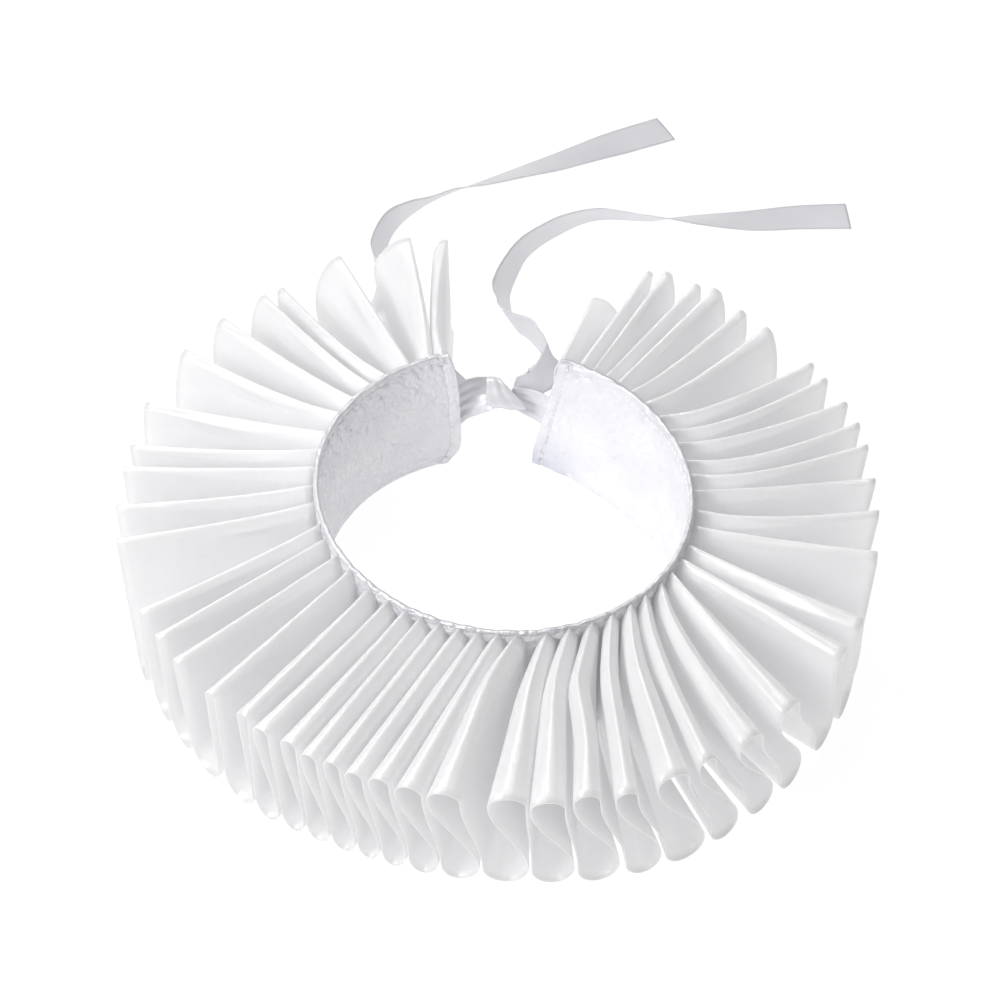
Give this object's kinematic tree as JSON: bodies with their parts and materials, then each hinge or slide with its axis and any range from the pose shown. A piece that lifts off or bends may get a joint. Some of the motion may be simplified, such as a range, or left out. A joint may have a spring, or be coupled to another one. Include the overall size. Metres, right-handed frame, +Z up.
{
  "type": "ruff collar",
  "caption": "Detachable pleated satin ruff collar on a stand-up neckband, closed at the back by knotted ribbon ties with long free ends.",
  "frame": {"origin": "on the surface that the collar lies on, under the middle of the collar's own box, ribbon tails left out", "axes": "+Z up, along the neck; +Y towards the nape, where the ties are; +X towards the right of the picture, the wearer's left"},
  "size_m": [0.2521, 0.3803, 0.0499],
  "materials": {
    "ruffle_satin": "white polyester satin, face side out",
    "band_satin": "white polyester satin over a stiffener",
    "ribbon_satin": "white double-faced satin ribbon"
  },
  "bodies": {
    "root": {"neckband": "band_satin", "ruffle_strip_1": "ruffle_satin", "ruffle_strip_2": "ruffle_satin", "ruffle_strip_3": "ruffle_satin", "ruffle_strip_4": "ruffle_satin", "tie_left": "ribbon_satin", "tie_right": "ribbon_satin", "tie_knot": "ribbon_satin", "tail_left": "ribbon_satin", "tail_right": "ribbon_satin"}
  },
  "joints": []
}
